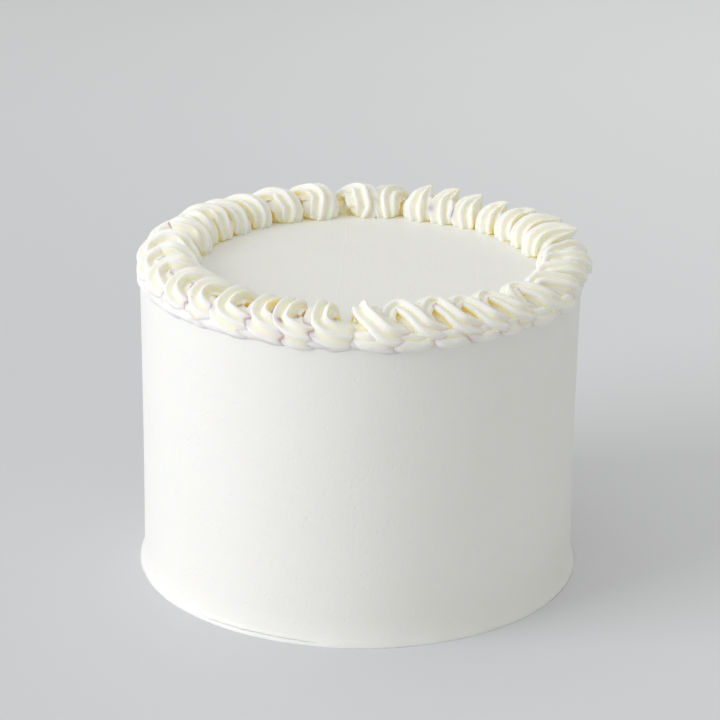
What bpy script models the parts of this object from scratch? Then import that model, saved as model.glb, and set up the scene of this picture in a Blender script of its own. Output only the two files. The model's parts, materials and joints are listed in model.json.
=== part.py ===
"""Round layer cake in white buttercream, with a piped rope border on its rim.

Two solids, in metres, +Z up. The origin is the middle of the cake's foot, +Y is the back.
The body is turned from a profile. The border is a run of overlapping loops, each a ridged
tube bent into a horseshoe, fused into one ring that lies on the rim and hangs over it.
"""
import math
import random

import bmesh
import bpy
import numpy as np

# Body of the cake
BODY_HEIGHT = 0.112
BODY_RADIUS = 0.0798
SKIRT_FLARE = 0.0017         # icing that spreads out at the foot
SKIRT_HEIGHT = 0.010
EDGE_ROUND = 0.0020          # soft edge of the top
BODY_SIDES = 96

# Piped border
RING_RADIUS = 0.0720         # middle line of the border, seen from above
RING_SHIFT = 0.0022          # its centre lies this far to +X of the cake's
SIDE_SWELL = 0.11            # share by which the loops are larger at -X and smaller at +X
TUBE_RADIUS = 0.0055         # tube of icing that one squeeze of the bag lays
LOBES = 8                    # ridges round the tube, from the star nozzle
GROOVE_DEPTH = 0.0012
LOOP_BACK = 0.0048           # how far a loop swings back over the one before
LOOP_SIDE = 0.0056           # how far it swings inwards and outwards
LOOP_FOLD = math.radians(118)
LOOP_SKEW = 0.22             # the outer half lies further along the run than the inner one
LOOP_TAIL = 0.0035           # its outer end runs on under the next loop by this
CREST_HEIGHT = 0.0052        # tube's middle above the cake's top, at the loop's crest
END_HEIGHT = 0.0012          # the same where its ends run down to the icing
OVERHANG_REACH = 0.0016      # the outer end reaches out over the rim by this
OVERHANG_DROP = 0.0014       # and drops by this
STATIONS = 8
CORE_HEIGHT = 0.0034
CORE_HALF_WIDTH = 0.0070
CORE_SIDES = 60
GAP = 0.0003                 # clearance between the border and the icing under it
SEED = 7

# The long run goes anticlockwise from the back, the short one clockwise from there
LONG_RUN_START = 92.0
LONG_RUN_END = 361.0
LONG_RUN_LOOPS = 27
SHORT_RUN_START = 58.0
SHORT_RUN_END = 12.5
SHORT_RUN_LOOPS = 5
CLOSING_LOOPS = ((81.5, 0.86), (70.0, 1.22))   # angle and size of the two where the runs meet


def clear_scene():
    for item in list(bpy.data.objects):
        bpy.data.objects.remove(item, do_unlink=True)


def icing(name, colour, roughness):
    material = bpy.data.materials.new(name)
    material.use_nodes = True
    shader = material.node_tree.nodes["Principled BSDF"]
    shader.inputs["Base Color"].default_value = (*colour, 1.0)
    shader.inputs["Roughness"].default_value = roughness
    shader.inputs["Metallic"].default_value = 0.0
    return material


def add_object(name, points, faces):
    """Mesh object from a list of points and faces, with its faces turned outwards."""
    mesh = bpy.data.meshes.new(name)
    mesh.from_pydata([tuple(point) for point in points], [], faces)
    work = bmesh.new()
    work.from_mesh(mesh)
    bmesh.ops.recalc_face_normals(work, faces=work.faces)
    work.to_mesh(mesh)
    work.free()
    item = bpy.data.objects.new(name, mesh)
    bpy.context.scene.collection.objects.link(item)
    return item


def body_profile(grow=0.0):
    """Radius and height of each ring of the body, foot to top, grown outwards by a clearance."""
    profile = []
    for share in (0.0, 0.12, 0.3, 0.6, 1.0):
        height = SKIRT_HEIGHT * share
        flare = SKIRT_FLARE * (1.0 - share) ** 2
        profile.append((BODY_RADIUS + flare + grow, height))
    straight_top = BODY_HEIGHT - EDGE_ROUND
    profile.append((BODY_RADIUS + grow, 0.5 * (SKIRT_HEIGHT + straight_top)))
    for step in range(4):
        turn = math.radians(30.0 * step)
        radius = BODY_RADIUS + grow - EDGE_ROUND * (1.0 - math.cos(turn))
        profile.append((radius, straight_top + grow + EDGE_ROUND * math.sin(turn)))
    return profile


def turned_solid(name, profile, sides):
    """Closed solid from the rings of a profile, with a flat face at each end."""
    points = []
    for radius, height in profile:
        for index in range(sides):
            turn = 2.0 * math.pi * index / sides
            points.append((radius * math.cos(turn), radius * math.sin(turn), height))
    faces = []
    for row in range(len(profile) - 1):
        for index in range(sides):
            after = (index + 1) % sides
            low, high = row * sides, (row + 1) * sides
            faces.append((low + index, low + after, high + after, high + index))
    faces.append(tuple(range(sides)))
    faces.append(tuple(range((len(profile) - 1) * sides, len(profile) * sides)))
    return add_object(name, points, faces)


def core_ring():
    """Low ring of icing inside the loops, which joins them all."""
    points = []
    corners = 8
    for index in range(CORE_SIDES):
        turn = 2.0 * math.pi * index / CORE_SIDES
        for corner in range(corners):
            angle = 2.0 * math.pi * (corner + 0.5) / corners
            radius = RING_RADIUS + CORE_HALF_WIDTH * math.cos(angle)
            height = BODY_HEIGHT + CORE_HEIGHT * (0.45 + math.sin(angle))
            points.append((RING_SHIFT + radius * math.cos(turn), radius * math.sin(turn), height))
    faces = []
    for index in range(CORE_SIDES):
        here, after = index * corners, (index + 1) % CORE_SIDES * corners
        for corner in range(corners):
            turned = (corner + 1) % corners
            faces.append((here + corner, after + corner, after + turned, here + turned))
    return add_object("piped_border", points, faces)


def loop_path(size):
    """Middle line of a loop as rows of (along, outwards, up) in metres.

    The angle runs over the horseshoe from its inner end to its outer one, with the crest at
    zero. The outer end hangs over the rim and runs on along the border.
    """
    angle = np.linspace(-LOOP_FOLD, LOOP_FOLD, STATIONS)
    hang = np.clip(angle / LOOP_FOLD, 0.0, 1.0) ** 2
    outwards = LOOP_SIDE * np.sin(angle) + OVERHANG_REACH * hang
    along = -LOOP_BACK * np.cos(angle) + LOOP_SKEW * outwards + LOOP_TAIL * hang
    crest = 0.5 + 0.5 * np.cos(angle * math.pi / LOOP_FOLD)
    upwards = END_HEIGHT + (CREST_HEIGHT - END_HEIGHT) * crest - OVERHANG_DROP * hang
    return size * np.stack([along, outwards, upwards], axis=1)


def star_radius(turn):
    """Radius of the tube by angle: round ridges with a narrow groove between each two."""
    ridge = np.abs(np.cos(0.5 * LOBES * turn))
    return TUBE_RADIUS - GROOVE_DEPTH * (1.0 - ridge)


def piped_loop(name, ring_angle, direction, size):
    """One ridged tube swept along its loop; direction is +1 anticlockwise and -1 clockwise."""
    size = size * (1.0 - SIDE_SWELL * math.cos(math.radians(ring_angle)))
    local = loop_path(size)
    turn = math.radians(ring_angle) + direction * local[:, 0] / RING_RADIUS
    radius = RING_RADIUS + local[:, 1]
    centre = np.stack([
        RING_SHIFT + radius * np.cos(turn),
        radius * np.sin(turn),
        BODY_HEIGHT + local[:, 2],
    ], axis=1)
    heading = np.gradient(centre, axis=0)
    heading /= np.linalg.norm(heading, axis=1, keepdims=True)
    upright = np.array([0.0, 0.0, 1.0]) - heading * heading[:, 2:3]
    upright /= np.linalg.norm(upright, axis=1, keepdims=True)
    sideways = np.cross(heading, upright)
    taper = 1.0 - 0.45 * np.abs(np.linspace(-1.0, 1.0, STATIONS)) ** 2.5
    spread = np.linspace(0.0, 2.0 * math.pi, 2 * LOBES, endpoint=False)
    profile = size * star_radius(spread)
    points = (
        centre[:, None, :]
        + taper[:, None, None] * (profile * np.cos(spread))[None, :, None] * sideways[:, None, :]
        + taper[:, None, None] * (profile * np.sin(spread))[None, :, None] * upright[:, None, :]
    ).reshape(-1, 3)
    count = len(spread)
    faces = []
    for row in range(STATIONS - 1):
        for index in range(count):
            after = (index + 1) % count
            low, high = row * count, (row + 1) * count
            faces.append((low + index, low + after, high + after, high + index))
    faces.append(tuple(range(count)))
    faces.append(tuple(range((STATIONS - 1) * count, STATIONS * count)))
    return add_object(name, points, faces)


def lay_loops():
    """All loops of both runs, as objects of one collection."""
    draw = random.Random(SEED)
    places = []
    for start, end, count, direction in (
        (LONG_RUN_START, LONG_RUN_END, LONG_RUN_LOOPS, 1),
        (SHORT_RUN_START, SHORT_RUN_END, SHORT_RUN_LOOPS, -1),
    ):
        for index in range(count):
            angle = start + (end - start) * index / (count - 1)
            places.append((angle + draw.uniform(-0.8, 0.8), direction, draw.uniform(0.95, 1.05)))
    for angle, size in CLOSING_LOOPS:
        places.append((angle, -1, size))
    group = bpy.data.collections.new("loops")
    bpy.context.scene.collection.children.link(group)
    for index, (angle, direction, size) in enumerate(places):
        loop = piped_loop(f"loop_{index}", angle, direction, size)
        bpy.context.scene.collection.objects.unlink(loop)
        group.objects.link(loop)
    return group


def apply_boolean(item, operation, solver, operand):
    """Add a Boolean with an object or a collection, and bake its result into the mesh."""
    modifier = item.modifiers.new(operation.lower(), "BOOLEAN")
    modifier.operation = operation
    modifier.solver = solver
    if isinstance(operand, bpy.types.Collection):
        modifier.operand_type = "COLLECTION"
        modifier.collection = operand
    else:
        modifier.object = operand
    bpy.context.view_layer.update()
    graph = bpy.context.evaluated_depsgraph_get()
    result = bpy.data.meshes.new_from_object(item.evaluated_get(graph))
    item.modifiers.clear()
    item.data = result


def keep_main_body(item):
    """Fill hollows and drop scraps: only the connected part with most points stays."""
    work = bmesh.new()
    work.from_mesh(item.data)
    left = set(work.verts)
    groups = []
    while left:
        stack = [left.pop()]
        group = set(stack)
        while stack:
            for edge in stack.pop().link_edges:
                for other in edge.verts:
                    if other in left:
                        left.remove(other)
                        group.add(other)
                        stack.append(other)
        groups.append(group)
    groups.sort(key=len)
    for group in groups[:-1]:
        bmesh.ops.delete(work, geom=list(group), context="VERTS")
    bmesh.ops.triangulate(work, faces=work.faces)
    work.to_mesh(item.data)
    work.free()


def build_body():
    body = turned_solid("cake_body", body_profile(), BODY_SIDES)
    body.data.materials.append(icing("smooth_icing", (0.87, 0.86, 0.80), 0.45))
    body.data.shade_smooth()
    body.data.set_sharp_from_angle(angle=math.radians(40))
    return body


def build_border():
    border = core_ring()
    loops = lay_loops()
    apply_boolean(border, "UNION", "MANIFOLD", loops)
    for loop in list(loops.objects):
        bpy.data.objects.remove(loop, do_unlink=True)
    bpy.data.collections.remove(loops)
    cutter = turned_solid("icing_clearance", body_profile(GAP), BODY_SIDES)
    apply_boolean(border, "DIFFERENCE", "MANIFOLD", cutter)
    bpy.data.objects.remove(cutter, do_unlink=True)
    keep_main_body(border)
    border.data.materials.clear()
    border.data.materials.append(icing("piped_icing", (0.88, 0.86, 0.77), 0.42))
    border.data.shade_smooth()
    border.data.set_sharp_from_angle(angle=math.radians(35))
    return border


def main():
    clear_scene()
    build_body()
    build_border()


main()
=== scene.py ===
# %% [markdown]
# # A layer cake with a piped rope border
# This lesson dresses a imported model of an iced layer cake. The model gives the sizes: a
# drum of icing and a ring piped on its rim. Here both get their fine surface and their
# buttercream, and then a floor, soft light and a camera.
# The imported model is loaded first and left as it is. Its box is noted before anything is
# added, because the dressed cake has to stay inside it.

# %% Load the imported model
import json
import math

import bpy
import numpy as np
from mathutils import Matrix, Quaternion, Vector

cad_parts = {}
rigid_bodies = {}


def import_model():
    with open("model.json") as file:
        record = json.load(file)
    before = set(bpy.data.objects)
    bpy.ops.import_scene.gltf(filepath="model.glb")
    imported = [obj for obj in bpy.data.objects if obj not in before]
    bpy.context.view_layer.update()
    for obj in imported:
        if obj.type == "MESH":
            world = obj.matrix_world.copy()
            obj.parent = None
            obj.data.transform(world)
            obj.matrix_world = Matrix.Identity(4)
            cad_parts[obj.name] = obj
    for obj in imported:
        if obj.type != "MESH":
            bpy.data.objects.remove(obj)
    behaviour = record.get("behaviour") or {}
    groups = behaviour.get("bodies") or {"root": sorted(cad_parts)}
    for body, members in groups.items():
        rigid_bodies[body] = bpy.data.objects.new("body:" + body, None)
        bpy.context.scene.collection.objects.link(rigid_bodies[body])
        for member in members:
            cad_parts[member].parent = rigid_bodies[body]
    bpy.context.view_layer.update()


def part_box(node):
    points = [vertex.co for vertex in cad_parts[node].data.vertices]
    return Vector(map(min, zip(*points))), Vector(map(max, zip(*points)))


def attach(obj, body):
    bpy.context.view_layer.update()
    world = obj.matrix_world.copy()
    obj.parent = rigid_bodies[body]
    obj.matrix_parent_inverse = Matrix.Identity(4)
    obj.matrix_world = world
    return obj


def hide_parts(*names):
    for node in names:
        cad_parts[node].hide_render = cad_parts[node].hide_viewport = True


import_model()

# %% [markdown]
# ## Sizes
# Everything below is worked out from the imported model's boxes and a few kitchen sizes.
# The body's box gives the cake's height and the radius of its foot, where the icing
# spreads a little. The border's box gives how far the piping reaches over the rim.

# %% Read the sizes from the model
MM = 0.001
body_low, body_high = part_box("cake_body")
border_low, border_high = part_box("piped_border")
BODY_HEIGHT = body_high[2]
FOOT_RADIUS = 0.5 * (body_high[0] - body_low[0])
SKIRT_FLARE = 1.7 * MM
BODY_RADIUS = FOOT_RADIUS - SKIRT_FLARE
SKIRT_HEIGHT = 10.0 * MM
EDGE_ROUND = 2.0 * MM
print(f"body {2000 * BODY_RADIUS:.1f} mm across and {1000 * BODY_HEIGHT:.1f} mm tall")
print(f"border {1000 * (border_high[0] - border_low[0]):.1f} mm across")

# %% [markdown]
# ## The camera
# The photograph was taken with a long lens, from the front and about twenty degrees above.
# A long lens keeps the cake's sides nearly parallel. The camera is placed by the point it
# looks at, its distance and its pitch, and rolled by under a degree, because the picture
# was held that much off level.

# %% Place the camera
LOOK_AT = (0.1 * MM, 0.0, 76.5 * MM)
CAMERA_DISTANCE = 0.928
CAMERA_PITCH = math.radians(20.31)
CAMERA_ROLL = math.radians(0.72)
SENSOR_WIDTH = 36.0
FOCAL_PIXELS = 2536.0
PICTURE_WIDTH = 720

camera_data = bpy.data.cameras.new("camera")
camera_data.sensor_width = SENSOR_WIDTH
camera_data.lens = SENSOR_WIDTH * FOCAL_PIXELS / PICTURE_WIDTH
camera = bpy.data.objects.new("camera", camera_data)
bpy.context.scene.collection.objects.link(camera)
camera.location = (
    LOOK_AT[0],
    -CAMERA_DISTANCE * math.cos(CAMERA_PITCH),
    LOOK_AT[2] + CAMERA_DISTANCE * math.sin(CAMERA_PITCH),
)
camera.rotation_mode = "ZXY"
camera.rotation_euler = (math.pi / 2 - CAMERA_PITCH, 0.0, 0.0)
camera.rotation_mode = "QUATERNION"
look = camera.rotation_euler.to_quaternion()
camera.rotation_quaternion = look @ Quaternion((0.0, 0.0, 1.0), CAMERA_ROLL)
bpy.context.scene.camera = camera
print("lens", round(camera_data.lens, 1), "mm")

# %% [markdown]
# ## Meshes from arrays
# The body and every loop of the border are grids: rows of points that close round on
# themselves. Numpy works out such a grid as one array, and a helper turns it into a mesh.
# Its rows are rings, and a single pole point closes the first and the last ring, so that
# the surface is watertight.

# %% A ring grid becomes a mesh
def ring_faces(rows, columns):
    """Quads between neighbouring rings and triangles from each end ring to its pole.

    Point (row, column) has the number row * columns + column; the two poles come last.
    """
    row = np.arange(rows - 1)[:, None]
    column = np.arange(columns)[None, :]
    after = (column + 1) % columns
    quads = np.stack([
        row * columns + column,
        row * columns + after,
        (row + 1) * columns + after,
        (row + 1) * columns + column,
    ], axis=-1).reshape(-1, 4)
    ring = np.arange(columns)
    turned = (ring + 1) % columns
    first_pole, last_pole = rows * columns, rows * columns + 1
    last_ring = (rows - 1) * columns
    low = np.stack([turned, ring, np.full(columns, first_pole)], axis=-1)
    high = np.stack([last_ring + ring, last_ring + turned, np.full(columns, last_pole)], axis=-1)
    return quads.tolist() + low.tolist() + high.tolist()


def ring_mesh(name, grid, poles, marks=None):
    """Smooth mesh object from a (rows, columns, 3) array, its two poles and point attributes."""
    rows, columns, _ = grid.shape
    points = np.concatenate([grid.reshape(-1, 3), np.asarray(poles)])
    mesh = bpy.data.meshes.new(name)
    mesh.from_pydata(points.tolist(), [], ring_faces(rows, columns))
    for mark, values in (marks or {}).items():
        ends = np.array([values[0].mean(), values[-1].mean()])
        layer = mesh.attributes.new(mark, "FLOAT", "POINT")
        layer.data.foreach_set("value", np.concatenate([values.reshape(-1), ends]).astype(np.float32))
    mesh.shade_smooth()
    piece = bpy.data.objects.new(name, mesh)
    bpy.context.scene.collection.objects.link(piece)
    return piece


def triangle_count(piece):
    return sum(len(face.vertices) - 2 for face in piece.data.polygons)

# %% [markdown]
# ## Unevenness
# Hand-spread icing is never exact, but it is never rough either. Waves of a few lengths
# added together give that slow drift. Each wave gets its own seeded weight and phase,
# so that every run makes the same cake.

# %% Slow waves for anything made by hand
def slow_waves(draw, turn, along, orders, lengths):
    """Sum of waves cos(order * turn + along / length + phase), scaled to about -1 to 1."""
    total = 0.0
    for order, length in zip(orders, lengths):
        phase = draw.uniform(0.0, 2.0 * np.pi)
        weight = draw.uniform(0.6, 1.0)
        total = total + weight * np.cos(order * turn + along / length + phase)
    return total / len(orders)

# %% [markdown]
# ## The iced body
# A baker spreads the icing with a tall scraper held upright while the cake turns, so the
# body is a surface of revolution. A cylinder with a bevel would be the quick way, but the
# foot flares and the side is slightly waisted, so a profile is turned instead. It runs
# from the flared foot up the side, round a soft edge and in over the flat top.

# %% Profile of the iced body
FOOT_ROWS = 34
SIDE_ROWS = 110
EDGE_ROWS = 10
TOP_ROWS = 30
BODY_COLUMNS = 480
FINE_HEIGHT = 3.4 * MM
WAIST = 0.35 * MM
SIDE_DRIFT = 0.22 * MM
LIP_DRIFT = 0.3 * MM
TOP_FADE = 4.0 * MM
FOOT_FADE = 3.0 * MM


def body_rings():
    """Radius and height of the body's rings, from the middle of the underside to the top's.

    The skirt's flare fades with the square of the height left to its top. The side is
    waisted by a parabola. The edge is a quarter circle and the top runs in evenly.
    """
    under = FOOT_RADIUS * np.array([0.3, 0.6, 0.9, 0.985])
    side_top = BODY_HEIGHT - EDGE_ROUND
    side_height = np.concatenate([
        np.linspace(0.0, FINE_HEIGHT, FOOT_ROWS, endpoint=False),
        np.linspace(FINE_HEIGHT, side_top, SIDE_ROWS),
    ])
    left_over = np.clip(1.0 - side_height / SKIRT_HEIGHT, 0.0, 1.0)
    middle = 2.0 * side_height / BODY_HEIGHT - 1.0
    side = BODY_RADIUS + SKIRT_FLARE * left_over ** 2 - WAIST * (1.0 - middle ** 2)
    turn = np.linspace(0.0, 0.5 * np.pi, EDGE_ROWS + 1)[1:]
    edge = BODY_RADIUS - EDGE_ROUND * (1.0 - np.cos(turn))
    edge_height = BODY_HEIGHT - EDGE_ROUND * (1.0 - np.sin(turn))
    top = (BODY_RADIUS - EDGE_ROUND) * np.linspace(0.985, 0.02, TOP_ROWS)
    radius = np.concatenate([under, side, edge, top])
    height = np.concatenate([np.zeros(4), side_height, edge_height, np.full(TOP_ROWS, BODY_HEIGHT)])
    return radius, height

# %% [markdown]
# ## A hair crack and a little drift
# In front the icing has parted along the foot in a crack as thin as a hair. The rings are
# close together there, so the crack can be cut into the shape itself, as a narrow groove
# that wanders. The side drifts in and out by a fifth of a millimetre and the foot's lip by
# a little more.

# %% The crack above the foot's lip
CRACK_START, CRACK_END = 227.0, 261.0
CRACK_HEIGHT = 1.3 * MM
CRACK_HALF_WIDTH = 0.17 * MM
CRACK_DEPTH = 1.1 * MM
CRACK_WANDER = 0.14 * MM


def foot_crack(draw, turn, rise):
    """Depth of a hair crack that wanders along the foot and closes at both its ends.

    The depth is a bell of the height over a wavy middle line, times a soft window in angle.
    """
    angle = np.degrees(turn)
    share = np.clip((angle - CRACK_START) / (CRACK_END - CRACK_START), 0.0, 1.0)
    window = np.sin(np.pi * share) ** 0.35 * (share > 0.0) * (share < 1.0)
    wander = slow_waves(draw, turn, 0.0 * rise, (41, 67, 109), (1.0, 1.0, 1.0))
    middle = CRACK_HEIGHT * (0.75 + 0.25 * np.sin(np.pi * share)) + CRACK_WANDER * wander
    return CRACK_DEPTH * window * np.exp(-((rise - middle) / CRACK_HALF_WIDTH) ** 2)

# %% Turn the profile into the body
def iced_body():
    """Rings turned about the axis; the side and foot drift by slow waves, the top stays flat."""
    draw = np.random.default_rng(11)
    radius, height = body_rings()
    turn = np.linspace(0.0, 2.0 * np.pi, BODY_COLUMNS, endpoint=False)[None, :]
    rise = height[:, None]
    on_side = np.clip((BODY_HEIGHT - rise) / TOP_FADE, 0.0, 1.0) * np.clip(rise / FOOT_FADE, 0.0, 1.0)
    drift = slow_waves(draw, turn, rise, (2, 3, 5, 9), (0.09, -0.05, 0.03, -0.02))
    foot = np.clip(1.0 - rise / SKIRT_HEIGHT, 0.0, 1.0) ** 2 * (rise > 0.0)
    lip = slow_waves(draw, turn, rise, (7, 13, 29), (0.2, 0.2, 0.1))
    reach = radius[:, None] + SIDE_DRIFT * (drift - 1.0) * on_side + LIP_DRIFT * foot * (lip - 1.0)
    reach = reach - foot_crack(draw, turn, rise) * (rise > 0.0)
    grid = np.stack([reach * np.cos(turn), reach * np.sin(turn), rise + 0.0 * turn], axis=-1)
    return ring_mesh("iced_body", grid, [(0.0, 0.0, 0.0), (0.0, 0.0, BODY_HEIGHT)])


iced = iced_body()
print("iced body:", triangle_count(iced), "triangles")

# %% [markdown]
# ## The rope border
# The border is piped with a star nozzle. The bag goes round in small loops, each one laid
# half over the last, so what shows is a row of ridged curls. One way to make it would be a
# twisted ring. Real loops have gaps between them and ends that dive under the next, so
# here every loop is a tube of its own, a star profile carried along a path.
#
# A path is given by eight knots. The five numbers of a knot are how far it lies along the
# run, how far outwards and how far above the cake's top, in millimetres from the border's
# middle line, and then its share of the tube's width and of the grooves' depth.
#
# A hand changes its habit on the way round, so there are several shapes. The long run
# starts with horseshoes at the back, goes on in curls that hang over the rim on the left
# and in front, then in flames, and it ends in commas laid across the rim on the right.
# The short run is made of upright shells whose tips are pulled up or pulled outwards. A
# strand lies along the outside of the shells, and thin lobes lie under the flames.

# %% Shapes of one loop
BACK = np.array([
    (-2.2, -7.8, -1.4, 0.70, 0.9),
    (-3.2, -7.0, 1.6, 0.92, 1.0),
    (-3.6, -4.6, 4.0, 1.02, 1.0),
    (-2.8, -1.4, 5.0, 1.00, 1.0),
    (-0.8, 1.3, 4.6, 0.98, 1.0),
    (1.8, 3.4, 3.2, 0.91, 0.9),
    (5.0, 3.9, 1.6, 0.76, 0.8),
    (9.0, 3.5, 0.4, 0.55, 0.7),
])
LEFT = np.array([
    (4.4, -7.0, -0.4, 0.66, 0.8),
    (2.1, -6.5, 1.5, 0.79, 0.9),
    (-1.0, -4.8, 3.5, 0.90, 1.1),
    (-2.8, -1.8, 4.9, 0.96, 1.3),
    (-3.4, 0.7, 4.4, 0.96, 1.4),
    (-2.2, 3.9, 2.2, 1.00, 1.0),
    (2.4, 4.8, 0.4, 0.96, 0.45),
    (9.2, 4.0, -0.5, 0.68, 0.2),
])
FRONT = np.array([
    (1.0, -6.8, -1.6, 0.48, 0.8),
    (0.0, -6.5, 0.8, 0.60, 1.0),
    (-1.8, -5.2, 3.2, 0.76, 1.4),
    (-2.6, -2.8, 5.2, 0.90, 1.6),
    (-3.4, 0.4, 4.4, 0.98, 1.5),
    (-2.2, 3.8, 2.3, 1.00, 1.0),
    (2.6, 4.8, 0.5, 0.96, 0.5),
    (9.6, 4.2, -0.5, 0.70, 0.25),
])
RIGHT = np.array([
    (-3.8, 5.0, 0.6, 0.52, 0.8),
    (-6.6, 3.0, 3.0, 0.58, 1.0),
    (-7.4, -1.2, 5.6, 0.64, 1.1),
    (-5.4, -4.9, 7.1, 0.70, 1.2),
    (-1.8, -5.0, 7.2, 0.75, 1.2),
    (1.6, -0.4, 5.7, 0.84, 1.2),
    (4.4, 4.3, 2.3, 0.94, 1.2),
    (12.0, 4.6, -0.2, 0.64, 0.8),
])
SIDE = np.array([
    (-5.2, -3.6, 1.4, 0.48, 0.8),
    (-5.0, -6.4, 3.0, 0.62, 0.9),
    (-3.0, -7.9, 4.3, 0.74, 1.0),
    (0.0, -6.6, 5.4, 0.84, 1.1),
    (2.4, -2.8, 6.0, 0.9, 1.2),
    (4.4, 1.6, 5.8, 0.92, 1.2),
    (6.0, 5.0, 4.2, 0.86, 1.1),
    (7.0, 7.0, 1.2, 0.6, 0.8),
])
POINTED = np.array([
    (1.8, -7.2, -1.6, 0.76, 0.9),
    (0.8, -6.8, 0.8, 0.98, 1.0),
    (0.0, -5.9, 3.0, 1.06, 1.1),
    (-0.3, -4.6, 5.0, 0.98, 1.2),
    (0.0, -3.2, 6.9, 0.8, 1.2),
    (0.8, -1.9, 8.7, 0.55, 1.1),
    (2.0, -0.9, 10.3, 0.29, 0.8),
    (3.4, -0.2, 11.7, 0.05, 0.4),
])
LEANING = np.array([
    (2.0, -7.4, -1.2, 0.70, 0.9),
    (0.8, -7.1, 1.4, 0.90, 1.0),
    (-0.4, -5.6, 3.6, 1.02, 1.1),
    (-0.8, -3.0, 5.4, 1.00, 1.2),
    (-0.4, 0.0, 6.6, 0.88, 1.2),
    (0.6, 3.0, 7.6, 0.66, 1.1),
    (1.8, 5.8, 8.6, 0.38, 0.8),
    (3.0, 7.8, 9.6, 0.06, 0.4),
])
PEAKED = np.array([
    (1.0, -7.2, -1.6, 0.8, 0.9),
    (0.3, -6.7, 0.8, 1.04, 1.0),
    (-0.1, -5.7, 3.0, 1.12, 1.0),
    (-0.2, -4.5, 5.2, 1.02, 1.1),
    (0.1, -3.3, 7.2, 0.8, 1.1),
    (0.6, -2.2, 9.0, 0.53, 1.0),
    (1.3, -1.3, 10.5, 0.27, 0.8),
    (2.1, -0.6, 11.8, 0.05, 0.4),
])
STRAND = np.array([
    (-3.0, 1.0, 1.6, 0.66, 0.8),
    (-4.4, 2.4, 2.2, 0.74, 0.8),
    (-4.2, 3.6, 2.2, 0.78, 0.8),
    (-3.0, 4.6, 1.6, 0.76, 0.8),
    (-0.6, 5.0, 1.0, 0.74, 0.8),
    (2.4, 5.2, 0.6, 0.70, 0.8),
    (5.6, 5.0, 0.4, 0.66, 0.8),
    (9.5, 4.6, 0.2, 0.50, 0.8),
])
LOBE = np.array([
    (-6.6, 3.8, 1.8, 0.34, 0.8),
    (-6.2, 5.2, 0.8, 0.48, 0.9),
    (-4.4, 6.2, 0.0, 0.56, 1.0),
    (-1.2, 6.7, -0.5, 0.60, 1.0),
    (2.2, 6.4, -0.6, 0.60, 1.0),
    (5.4, 5.4, -0.4, 0.54, 1.0),
    (8.4, 4.2, 0.0, 0.44, 0.9),
    (11.0, 3.2, 0.2, 0.30, 0.8),
])

# %% [markdown]
# ## Two runs that meet
# Most of the ring is piped in one long run, anticlockwise from the back, and the rest in a
# short run the other way. A hand's steps are uneven, so each step is named here, in
# degrees as the photograph shows them. Copies at equal steps would look like a machine's.
# A loop that lies between two named shapes takes a straight mix of their knots, so that
# the habit changes little by little. The loops on the left are a tenth larger.

# %% Where the loops lie
RING_RADIUS = 72.0 * MM
RING_SHIFT = 2.2 * MM
SIDE_SWELL = 0.11
LONG_RUN_START = 94.0
LONG_RUN_STEPS = (15, 12.5, 11.5, 9, 7.5, 8, 8.5, 11.5, 12.5, 12, 11.5, 9.8, 10.7, 10.3, 6.7, 9, 12.5,
                  8.8, 10.1, 8.4, 8.7, 12.5, 12, 9.5, 9, 9.5)
BACK_RIDGES, CURL_RIDGES, FLAME_RIDGES, SHELL_RIDGES, LOBE_RIDGES = 10, 8, 6, 9, 3
FLAMES_FROM, FLAMES_TO = 264.0, 340.0
STYLE_TURNS = (130.0, 185.0, 228.0, 245.0, 264.0, 284.0, 315.0, 340.0)
STYLES = np.array([BACK, LEFT, LEFT, FRONT, FRONT, RIGHT, RIGHT, SIDE])
SHORT_RUN = (
    (81.5, 0.98, BACK),
    (71.5, 1.04, PEAKED),
    (63.5, 1.06, POINTED),
    (55.0, 1.02, POINTED),
    (45.0, 1.02, POINTED),
    (35.5, 1.05, 0.5 * (POINTED + LEANING)),
    (26.5, 1.08, LEANING),
    (17.0, 1.10, LEANING),
)


def styled(angle):
    """Knots of a long-run loop: a straight mix of the two styles on either side of its angle."""
    place = float(np.interp(angle, STYLE_TURNS, range(len(STYLE_TURNS))))
    low = min(int(place), len(STYLE_TURNS) - 2)
    return (1.0 - place + low) * STYLES[low] + (place - low) * STYLES[low + 1]


def loop_places():
    """Every loop as (ring angle, direction, size, knots, ridges, sharpness, spread)."""
    draw = np.random.default_rng(7)
    places = []
    for angle in LONG_RUN_START + np.concatenate([[0.0], np.cumsum(LONG_RUN_STEPS)]):
        ridges = BACK_RIDGES if angle < 140.0 else CURL_RIDGES if angle < 269.0 else FLAME_RIDGES
        sharpness = float(np.interp(angle, (262.0, 284.0), (1.3, 0.7)))
        spread = float(np.interp(angle, (121.0, 150.0, 185.0), (1.25, 1.06, 1.0)))
        size = draw.uniform(0.96, 1.01)
        places.append((angle, 1.0, size, styled(angle), ridges, sharpness, spread))
    for angle, size, knots in SHORT_RUN:
        spread = 1.1 if angle > 70.0 else 1.16
        places.append((angle, -1.0, size, knots, SHELL_RIDGES, 1.0, spread))
    for angle, size, _ in SHORT_RUN:
        places.append((angle, -1.0, size, STRAND, CURL_RIDGES, 1.0, 1.0))
    flames = [place for place in places if FLAMES_FROM < place[0] < FLAMES_TO]
    for angle, _, size, *_ in flames:
        places.append((angle, 1.0, size, LOBE, LOBE_RIDGES, 0.5, 1.0))
    return places


places = loop_places()
print(len(places), "loops and strands")

# %% [markdown]
# ## A smooth path
# Straight lines between the knots would make a loop of sticks. Hermite's cubic passes
# through every knot and leaves it in the direction of its neighbours, for the place, the
# width and the grooves alike. It is evaluated for all loops at once.

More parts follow.
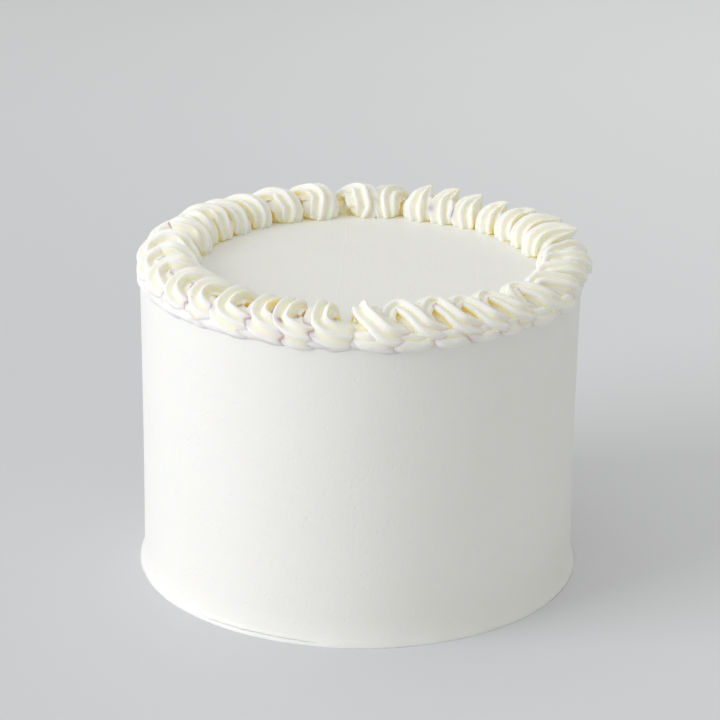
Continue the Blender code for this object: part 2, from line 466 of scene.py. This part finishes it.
# %% A curve through the knots
def through(knots, values, at):
    """Smooth curve through values at the knots: a cubic between each two, by Hermite's rule.

    The slope at a knot is the mean slope of its neighbours. Values are (..., knot, column).
    """
    slope = np.gradient(values, knots, axis=-2)
    left = np.clip(np.searchsorted(knots, at, side="right") - 1, 0, len(knots) - 2)
    width = (knots[left + 1] - knots[left])[:, None]
    step = (at - knots[left])[:, None] / width
    keep = (1.0 + 2.0 * step) * (1.0 - step) ** 2
    return (
        keep * values[..., left, :]
        + (1.0 - keep) * values[..., left + 1, :]
        + step * (1.0 - step) ** 2 * width * slope[..., left, :]
        - step ** 2 * (1.0 - step) * width * slope[..., left + 1, :]
    )

# %% [markdown]
# ## A star carried along the path
# A star nozzle leaves a ridged cord. Its section is a circle with grooves: the radius
# falls with a cosine wave, and a power of the wave turns the ridges from round cords to
# thin blades. The section stands square to the path. If it kept the world's up, it would
# flip where a path dives, so its up is carried from each station to the next. Seeded
# drift of the knots keeps any two loops from being alike. The upright shells get less of
# it, because a tight bend would fold them.

# %% The star profile and the sweep
KNOT_DRIFT = np.array([0.35, 0.3, 0.18, 0.025, 0.05])
SHELL_STEADINESS = 0.3
TUBE_RADIUS = 6.0 * MM
GROOVE_DEPTH = 1.8 * MM
STATIONS = 72
SPOKES = 110
END_ROUND = 0.05
END_CROWDING = 0.35
RIDGE_DRIFT = 0.08
CURL_LEAN = 0.33


def unit(vectors):
    return vectors / np.linalg.norm(vectors, axis=-1, keepdims=True)


def carried_up(heading):
    """Up vectors square to the heading, carried from the middle station to both ends."""
    upright = np.zeros_like(heading)
    middle = heading.shape[1] // 2
    upright[:, middle] = (0.0, 0.0, 1.0)
    for station, source in (
        [(middle, middle)]
        + [(index, index - 1) for index in range(middle + 1, heading.shape[1])]
        + [(index, index + 1) for index in range(middle - 1, -1, -1)]
    ):
        along = heading[:, station]
        last = upright[:, source]
        upright[:, station] = unit(last - along * (along * last).sum(-1, keepdims=True))
    return upright


def drifted_knots(draw, direction):
    """Knots of every loop, each number moved by a seeded drift of its own size."""
    knots = np.array([place[3] for place in places])
    unsteady = np.where(direction < 0.0, SHELL_STEADINESS, 1.0)[:, :, None]
    return knots + draw.normal(0.0, 1.0, knots.shape) * KNOT_DRIFT * unsteady


def laid_on_ring(local, angle, direction):
    """Path (loop, station, xyz) of places given along the run, outwards and up, in metres.

    The distance along the run over the ring's radius is an angle that adds to the loop's.
    """
    turn = np.radians(angle) + direction * local[..., 0] / RING_RADIUS
    radius = RING_RADIUS + local[..., 1]
    across, depth = radius * np.cos(turn) + RING_SHIFT, radius * np.sin(turn)
    return np.stack([across, depth, BODY_HEIGHT + local[..., 2]], axis=-1)


def star_radii(spoke, depth, ridges, sharpness, lean):
    """Radius (loop, station, spoke) of the grooved section, and its groove mark.

    A ridge tops out where the cosine of ridges x (spoke + lean) is one; the power sharpness
    makes it a blade above one and a cord below one. The lean turns the ridges round the
    tube. The mark is nought on top of a ridge and one at the bottom of a groove.
    """
    wave = 0.5 + 0.5 * np.cos(ridges * (spoke - 0.5 * np.pi + lean))
    groove = 1.0 - (wave ** sharpness)[:, None, :]
    return TUBE_RADIUS - GROOVE_DEPTH * depth[..., None] * groove, groove


def rounded_ends(share):
    """Share of the full width at each station: a quarter circle up from either end."""
    from_end = np.clip(np.minimum(share, 1.0 - share) / END_ROUND, 0.0, 1.0)
    return np.sqrt(1.0 - (1.0 - from_end) ** 2)


def loop_grids():
    """Points (loop, station, spoke, xyz), their groove mark and the two poles of each loop.

    The stations crowd a little at the path's ends, where it dives. At each station the
    profile stands square to the path. Its own up is the world's up at the middle of the
    path and is carried from there to both ends without a twist; its sideways is heading x
    up.
    """
    draw = np.random.default_rng(23)
    angle, direction, size, ridges, sharpness, spread = np.array(
        [(*place[:3], *place[4:]) for place in places]).T[:, :, None]
    knots = drifted_knots(draw, direction)
    size = size * (1.0 - SIDE_SWELL * np.cos(np.radians(angle)))
    even = np.linspace(0.0, 1.0, STATIONS + 2)
    crowded = 0.5 - 0.5 * np.cos(np.pi * even)
    share = (1.0 - END_CROWDING) * even + END_CROWDING * crowded
    local = through(np.linspace(0.0, 1.0, knots.shape[1]), knots, share)
    local[..., :3] *= MM * size[:, :, None]
    path = laid_on_ring(local, angle, direction)
    heading = unit(np.gradient(path, axis=1))
    upright = carried_up(heading)
    sideways = np.cross(heading, upright)
    spoke = np.linspace(0.0, 2.0 * np.pi, SPOKES, endpoint=False)
    lean = draw.uniform(-RIDGE_DRIFT, RIDGE_DRIFT, angle.shape)
    lean = lean + np.where(ridges == CURL_RIDGES, CURL_LEAN, 0.0)
    star, groove = star_radii(spoke, local[..., 4], ridges, sharpness, lean)
    reach = (rounded_ends(share) * local[..., 3] * size)[..., None] * star
    points = (
        path[:, :, None, :]
        + (spread[:, :, None] * reach * np.cos(spoke))[..., None] * sideways[:, :, None, :]
        + (reach * np.sin(spoke))[..., None] * upright[:, :, None, :]
    )
    groove = np.broadcast_to(groove, reach.shape)
    return points[:, 1:-1], groove[:, 1:-1], path[:, [0, -1]]

# %% [markdown]
# ## Loops fused into stretches
# Soft icing melts together where it touches. A Boolean union does the same to meshes: it
# keeps the outer skin and leaves a crease where one loop meets the next. It is one
# modifier on a collection, with the Manifold solver, which is quick and exact on closed
# meshes. The ring is fused in stretches, so that no piece gets too heavy. Smooth shading
# would smear a crease, so every edge that bends by more than forty degrees is kept sharp.

# %% Fuse the loops of each stretch
CREASE_ANGLE = math.radians(40)


def fuse(name, members):
    """One watertight piece from overlapping ones, by a Boolean union on a collection."""
    base = members[0]
    group = bpy.data.collections.new(name + "_members")
    bpy.context.scene.collection.children.link(group)
    for member in members[1:]:
        bpy.context.scene.collection.objects.unlink(member)
        group.objects.link(member)
    union = base.modifiers.new("union", "BOOLEAN")
    union.operation = "UNION"
    union.solver = "MANIFOLD"
    union.operand_type = "COLLECTION"
    union.collection = group
    bpy.context.view_layer.update()
    graph = bpy.context.evaluated_depsgraph_get()
    fused = bpy.data.meshes.new_from_object(base.evaluated_get(graph))
    base.modifiers.clear()
    base.data = fused
    base.name = name
    fused.name = name
    for member in members[1:]:
        bpy.data.objects.remove(member, do_unlink=True)
    bpy.data.collections.remove(group)
    fused.shade_smooth()
    fused.set_sharp_from_angle(angle=CREASE_ANGLE)
    return base


STRETCHES = {
    "border_back_left": range(0, 9),
    "border_front_left": range(9, 18),
    "border_front_right": range(18, 27),
    "border_short_run_back": (*range(27, 31), *range(35, 39)),
    "border_short_run_front": (*range(31, 35), *range(39, 43)),
    "border_lower_edge": range(43, 50),
}


def pipe_border():
    points, groove, poles = loop_grids()
    pieces = []
    for name, members in STRETCHES.items():
        loops = [
            ring_mesh(f"loop_{index}", points[index], poles[index], {"groove": groove[index]})
            for index in members
        ]
        pieces.append(fuse(name, loops))
        print(name, triangle_count(pieces[-1]), "triangles")
    return pieces


border = pipe_border()

# %% [markdown]
# ## What lies under the loops
# The first icing out of the nozzle is pressed flat. It fills the gaps low down between the
# loops, and a soft edge of it sags over the rim. Two closed rings with an oval section
# stand for it: the bed lies inside the rim, and the skirt hangs just outside. A torus
# from Blender's menu is an exact circle, so these are computed, with slow waves in them.

# %% The bed and the skirt of icing under the loops
BED_INWARD = 6.0 * MM
BED_SHORT = 1.2 * MM
BED_RISE = 4.4 * MM
SKIRT_REACH = 1.0 * MM
SKIRT_HALF_WIDTH = 2.6 * MM
SKIRT_RISE = 2.4 * MM
SKIRT_LEVEL = -0.6 * MM
RING_ROWS, OVAL_COLUMNS = 360, 32
RING_TURN = np.linspace(0.0, 2.0 * np.pi, RING_ROWS, endpoint=False)[:, None]
RING_DRIFT = 0.12


def torus_faces(rows, columns):
    """Quads of a grid whose rows and columns both close on themselves."""
    row, column = np.arange(rows)[:, None], np.arange(columns)[None, :]
    next_row, next_column = (row + 1) % rows, (column + 1) % columns
    return np.stack([
        row * columns + column,
        next_row * columns + column,
        next_row * columns + next_column,
        row * columns + next_column,
    ], axis=-1).reshape(-1, 4).tolist()


def icing_ring(name, inner, outer, rise, level, groove):
    """Closed ring of icing, an oval in section, from an inner to an outer radius.

    It is a torus: angle round the ring by angle round the oval, both closed. A radius is
    one number, or one for each angle of RING_TURN. Slow waves let width and rise drift.
    """
    draw = np.random.default_rng(5)
    oval = np.linspace(0.0, 2.0 * np.pi, OVAL_COLUMNS, endpoint=False)[None, :]
    drift = 1.0 + RING_DRIFT * slow_waves(draw, RING_TURN, 0.0 * oval, (17, 31, 45), (1.0, 1.0, 1.0))
    middle = 0.5 * (outer + inner)
    half = 0.5 * (outer - inner)
    radius = middle + half * drift * np.cos(oval)
    height = BODY_HEIGHT + level + rise * drift * np.sin(oval)
    grid = np.stack([radius * np.cos(RING_TURN), radius * np.sin(RING_TURN), height], axis=-1)
    faces = torus_faces(RING_ROWS, OVAL_COLUMNS)
    mesh = bpy.data.meshes.new(name)
    mesh.from_pydata(grid.reshape(-1, 3).tolist(), [], faces)
    mark = mesh.attributes.new("groove", "FLOAT", "POINT")
    mark.data.foreach_set("value", np.full(RING_ROWS * OVAL_COLUMNS, groove, np.float32))
    mesh.shade_smooth()
    ring = bpy.data.objects.new(name, mesh)
    bpy.context.scene.collection.objects.link(ring)
    return ring


loops_middle = RING_RADIUS + RING_SHIFT * np.cos(RING_TURN)
bed_outer = BODY_RADIUS - BED_SHORT
skirt_outer = BODY_RADIUS + SKIRT_REACH
skirt_inner = skirt_outer - 2.0 * SKIRT_HALF_WIDTH
# the bed counts as groove all over, so it gets the full painted groove shade and a little painted glow;
# the skirt gets none
bed = icing_ring("border_bed", loops_middle - BED_INWARD, bed_outer, BED_RISE, 0.0, groove=1.0)
skirt = icing_ring("border_skirt", skirt_inner, skirt_outer, SKIRT_RISE, SKIRT_LEVEL, groove=0.0)
border = [*border, bed, skirt]
print("bed and skirt:", triangle_count(bed) + triangle_count(skirt), "triangles")

# %% [markdown]
# ## Shader maths in plain Python
# Buttercream's colour and relief are worked out by nodes. Written as nodes one by one, a
# sum of three noises fills a page, so a small class wraps a socket and lets Python's own
# signs add the Math nodes. A recipe holds the material and adds every other node.

# %% A signal and a recipe
class Signal:
    """A number that runs through a material; its arithmetic adds Math nodes."""

    def __init__(self, recipe, socket):
        self.recipe = recipe
        self.socket = socket

    def math(self, operation, first, second):
        settings = {"operation": operation}
        node = self.recipe.node("ShaderNodeMath", settings, {0: first, 1: second})
        return Signal(self.recipe, node.outputs[0])

    def __add__(self, other):
        return self.math("ADD", self, other)

    __radd__ = __add__

    def __sub__(self, other):
        return self.math("SUBTRACT", self, other)

    def __rsub__(self, other):
        return self.math("SUBTRACT", other, self)

    def __mul__(self, other):
        return self.math("MULTIPLY", self, other)

    __rmul__ = __mul__

    def __abs__(self):
        return self.math("ABSOLUTE", self, 0.0)


class Recipe:
    """A material with a Principled shader, and one method that adds any other node."""

    def __init__(self, name):
        self.material = bpy.data.materials.new(name)
        self.material.use_nodes = True
        self.tree = self.material.node_tree
        self.shader = self.tree.nodes["Principled BSDF"]

    def connect(self, socket, value):
        if isinstance(value, Signal):
            self.tree.links.new(value.socket, socket)
        elif isinstance(value, bpy.types.NodeSocket):
            self.tree.links.new(value, socket)
        else:
            socket.default_value = value

    def node(self, kind, settings=None, inputs=None):
        added = self.tree.nodes.new(kind)
        for key, value in (settings or {}).items():
            setattr(added, key, value)
        for key, value in (inputs or {}).items():
            self.connect(added.inputs[key], value)
        return added

    def where(self):
        return self.node("ShaderNodeTexCoord").outputs["Object"]

    def parts(self, vector):
        """The three coordinates of a place, each as a signal."""
        split = self.node("ShaderNodeSeparateXYZ", None, {"Vector": vector})
        return [Signal(self, output) for output in split.outputs]

    def noise(self, vector, scale, detail=2.0, roughness=0.5):
        inputs = {"Vector": vector, "Scale": scale, "Detail": detail, "Roughness": roughness}
        return Signal(self, self.node("ShaderNodeTexNoise", None, inputs).outputs[0])

    def cells(self, vector, scale):
        """Distance to the nearest of many scattered points, in cell widths."""
        inputs = {"Vector": vector, "Scale": scale, "Randomness": 1.0}
        return Signal(self, self.node("ShaderNodeTexVoronoi", None, inputs).outputs["Distance"])

    def steps(self, signal, low, high):
        """Zero below low, one above high and a smooth rise between them."""
        settings = {"interpolation_type": "SMOOTHSTEP"}
        inputs = {"Value": signal, "From Min": low, "From Max": high}
        return Signal(self, self.node("ShaderNodeMapRange", settings, inputs).outputs[0])

    def closed_in(self, reach, low, high):
        """One where surfaces within reach block most of the view, zero where it is open."""
        settings = {"samples": 8, "only_local": False}
        node = self.node("ShaderNodeAmbientOcclusion", settings, {"Distance": reach})
        return 1.0 - self.steps(Signal(self, node.outputs["AO"]), low, high)

    def mix(self, share, first, second):
        settings = {"data_type": "RGBA"}
        return self.node("ShaderNodeMix", settings, {0: share, 6: first, 7: second}).outputs[2]

    def mark(self, name):
        node = self.node("ShaderNodeAttribute", {"attribute_name": name})
        return Signal(self, node.outputs["Fac"])

    def finish(self, colour, roughness, height, height_size):
        """Feed the shader: colour, roughness, and a bump of this height in metres."""
        self.connect(self.shader.inputs["Base Color"], colour)
        self.connect(self.shader.inputs["Roughness"], roughness)
        settings = {"Strength": 1.0, "Distance": height_size, "Height": height}
        bump = self.node("ShaderNodeBump", None, settings)
        self.connect(self.shader.inputs["Normal"], bump.outputs[0])
        return self.material

# %% [markdown]
# ## Smooth buttercream
# The side and top are one coat of white buttercream, polished by the scraper. It is
# off-white, lets a little light in, and has a soft satin shine. Plain white would look
# like plastic, so there are faint cloudy patches, a fine grain and pin-prick pores where
# air got out. One pale line runs over the top, where the scraper was lifted off. All of it
# reads the place on the cake, so nothing has to be unwrapped.

# %% The smooth coat
SMOOTH_WHITE = (0.895, 0.897, 0.862, 1.0)
SMOOTH_SHADE = (0.877, 0.88, 0.835, 1.0)
SEAM_WHITE = (0.95, 0.95, 0.92, 1.0)
SEAM_PLACE = -7.0 * MM
SEAM_SLANT = 0.03
SEAM_WANDER = 3.0 * MM
SEAM_BENDS_PER_METRE = 45.0
CLOUDS_PER_METRE = 38.0
GRAINS_PER_METRE = 900.0
SWIRLS_PER_METRE = 120.0
PORES_PER_METRE = 260.0
SMOOTH_RELIEF = 0.08 * MM


def smooth_buttercream():
    recipe = Recipe("smooth_buttercream")
    place = recipe.where()
    cloud = recipe.steps(recipe.noise(place, CLOUDS_PER_METRE, 3.0), 0.35, 0.7)
    grain = recipe.noise(place, GRAINS_PER_METRE, 3.0, 0.6)
    swirl = recipe.noise(place, SWIRLS_PER_METRE, 2.0)
    across, depth, height = recipe.parts(place)
    wander = SEAM_WANDER * (recipe.noise(place, SEAM_BENDS_PER_METRE, 2.0) - 0.5)
    off = across - SEAM_PLACE - SEAM_SLANT * depth - wander
    on_top = recipe.steps(height, BODY_HEIGHT - 0.5 * MM, BODY_HEIGHT - 0.2 * MM)
    seam = on_top * (1.0 - recipe.steps(abs(off), 0.1 * MM, 0.5 * MM))
    colour = recipe.mix(cloud * 0.6, SMOOTH_WHITE, SMOOTH_SHADE)
    colour = recipe.mix(seam * 0.22, colour, SEAM_WHITE)
    recipe.shader.inputs["Subsurface Weight"].default_value = 0.15
    recipe.shader.inputs["Subsurface Radius"].default_value = (1.0, 0.75, 0.45)
    recipe.shader.inputs["Subsurface Scale"].default_value = 2.0 * MM
    pit = 1.0 - recipe.steps(recipe.cells(place, PORES_PER_METRE), 0.05, 0.22)
    relief = 1.3 * grain + 0.6 * swirl + 0.4 * seam - 0.9 * pit
    return recipe.finish(colour, 0.42 + 0.12 * cloud, relief, SMOOTH_RELIEF)


iced.data.materials.append(smooth_buttercream())
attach(iced, "root")
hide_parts("cake_body")
print("smooth buttercream:", len(iced.active_material.node_tree.nodes), "nodes")

# %% [markdown]
# ## Piped buttercream
# The border is the same buttercream, but its ridges and hollows change how it looks. Light
# that bounces about in a deep hollow comes back yellowish, so the gaps between the loops
# glow yellow; that light is painted, as a yellow colour and a weak glow. An Ambient Occlusion
# node measures how closed-in each point is and picks out those gaps. A second one with a short
# reach finds the narrow creases between loops, which real icing fills with light, so they get
# a faint painted glow. The grooves get a painted shade, a little creamier than the ridges, by
# the mark that the sweep left on each point, and a little of the painted glow. Plenty of light
# passes through thin ridges, so most of the shading is subsurface scattering, and there is hardly any
# shine.

# %% The piped coat
PIPED_WHITE = (0.878, 0.878, 0.84, 1.0)
GROOVE_PAINTED_SHADE = (0.93, 0.905, 0.70, 1.0)
HOLLOW_YELLOW = (0.92, 0.79, 0.30, 1.0)
HOLLOW_GLOW = (0.085, 0.058, 0.008, 1.0)
NO_GLOW = (0.0, 0.0, 0.0, 1.0)
CREASE_GLOW = (0.14, 0.195, 0.11, 1.0)
HOLLOW_REACH = 6.0 * MM
CREASE_REACH = 1.4 * MM
PIPED_GRAINS_PER_METRE = 1300.0
LUMPS_PER_METRE = 260.0
PIPED_RELIEF = 0.1 * MM


def piped_buttercream():
    recipe = Recipe("piped_buttercream")
    place = recipe.where()
    grain = recipe.noise(place, PIPED_GRAINS_PER_METRE, 3.0, 0.6)
    lumps = recipe.noise(place, LUMPS_PER_METRE, 2.0)
    groove = recipe.steps(recipe.mark("groove"), 0.35, 1.0)
    hollow = recipe.closed_in(HOLLOW_REACH, 0.08, 0.45)
    # painted glow: its share is full in the hollows and a quarter of the groove mark elsewhere
    painted_glow_share = hollow + 0.25 * groove * (1.0 - hollow)
    # painted shade in the grooves: a creamier yellow where the sweep's mark says groove
    cream_and_groove_shade = recipe.mix(groove * 0.55, PIPED_WHITE, GROOVE_PAINTED_SHADE)
    colour = recipe.mix(hollow, cream_and_groove_shade, HOLLOW_YELLOW)
    crease = recipe.closed_in(CREASE_REACH, 0.35, 0.8)
    glow = recipe.mix(painted_glow_share, NO_GLOW, HOLLOW_GLOW)
    glow = recipe.mix(crease * (1.0 - hollow), glow, CREASE_GLOW)
    recipe.connect(recipe.shader.inputs["Emission Color"], glow)
    recipe.shader.inputs["Emission Strength"].default_value = 1.0
    recipe.shader.inputs["Specular IOR Level"].default_value = 0.2
    recipe.shader.inputs["Subsurface Weight"].default_value = 0.9
    recipe.shader.inputs["Subsurface Radius"].default_value = (1.0, 0.85, 0.5)
    recipe.shader.inputs["Subsurface Scale"].default_value = 2.4 * MM
    relief = 0.6 * grain + 0.8 * lumps
    return recipe.finish(colour, 0.55 + 0.1 * lumps, relief, PIPED_RELIEF)


piped = piped_buttercream()
print("piped buttercream:", len(piped.node_tree.nodes), "nodes")
for piece in border:
    piece.data.materials.clear()
    piece.data.materials.append(piped)
    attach(piece, "root")
    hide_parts("piped_border")

# %% [markdown]
# ## Floor and light
# The cake stands on a plain pale floor that fills the picture. A painted shade makes it a
# little darker at the left and in front. A broad light like a window comes from the left, low
# and a little in front, so that the left side is nearly white and the right side falls to a
# soft grey. A weak, wide lamp overhead lifts the flat top, and an even pale surround fills the shade.

# %% The floor
FLOOR_HALF = 3.0
FLOOR_PAINTED_SHADE = (0.575, 0.585, 0.61, 1.0)
FLOOR_PALE = (0.93, 0.94, 0.97, 1.0)
FLOOR_CLOUDS_PER_METRE = 3.0
FLOOR_RELIEF = 0.1 * MM


def pale_floor():
    corners = [(-FLOOR_HALF, -FLOOR_HALF, 0.0), (FLOOR_HALF, -FLOOR_HALF, 0.0),
               (FLOOR_HALF, FLOOR_HALF, 0.0), (-FLOOR_HALF, FLOOR_HALF, 0.0)]
    mesh = bpy.data.meshes.new("floor")
    mesh.from_pydata(corners, [], [(0, 1, 2, 3)])
    floor = bpy.data.objects.new("floor", mesh)
    bpy.context.scene.collection.objects.link(floor)
    recipe = Recipe("pale_floor")
    place = recipe.where()
    across, depth, _ = recipe.parts(place)
    cloud = recipe.noise(place, FLOOR_CLOUDS_PER_METRE, 2.0)
    # painted shade: the floor's colour darkens towards the left and towards the front
    rise = recipe.steps(across, -0.35, 0.35) + recipe.steps(depth, -0.1, 0.9)
    colour = recipe.mix(0.5 * rise + 0.05 * cloud, FLOOR_PAINTED_SHADE, FLOOR_PALE)
    mesh.materials.append(recipe.finish(colour, 0.6, cloud, FLOOR_RELIEF))
    return floor


floor = pale_floor()

# %% The light
LAMP_AIM_HEIGHT = 60.0 * MM
KEY_AZIMUTH = math.radians(203)
KEY_ELEVATION = math.radians(22)
KEY_DISTANCE = 1.6
KEY_SIZE = 1.0
KEY_POWER = 14.5
KEY_COLOUR = (1.0, 0.99, 1.04)
CEILING_DISTANCE = 1.6
CEILING_SIZE = 1.8
CEILING_POWER = 3.5
CEILING_COLOUR = (1.0, 1.0, 1.0)
SURROUND = (0.575, 0.575, 0.55, 1.0)


def area_light(name, azimuth, elevation, distance, size, power, colour):
    """Square lamp that looks at the cake's middle from a compass direction."""
    data = bpy.data.lights.new(name, "AREA")
    data.size = size
    data.energy = power
    data.color = colour
    lamp = bpy.data.objects.new(name, data)
    bpy.context.scene.collection.objects.link(lamp)
    level = distance * math.cos(elevation)
    lamp.location = (
        level * math.cos(azimuth),
        level * math.sin(azimuth),
        LAMP_AIM_HEIGHT + distance * math.sin(elevation),
    )
    lamp.rotation_euler = (math.pi / 2 - elevation, 0.0, azimuth + math.pi / 2)
    return lamp


area_light("window", KEY_AZIMUTH, KEY_ELEVATION, KEY_DISTANCE, KEY_SIZE, KEY_POWER, KEY_COLOUR)
area_light("ceiling", 0.0, 0.5 * math.pi, CEILING_DISTANCE, CEILING_SIZE, CEILING_POWER, CEILING_COLOUR)
print("two lamps,", KEY_POWER, "and", CEILING_POWER, "watts")
world = bpy.data.worlds.new("surround")
world.use_nodes = True
world.node_tree.nodes["Background"].inputs["Color"].default_value = SURROUND
bpy.context.scene.world = world
bpy.context.scene.view_settings.view_transform = "Standard"
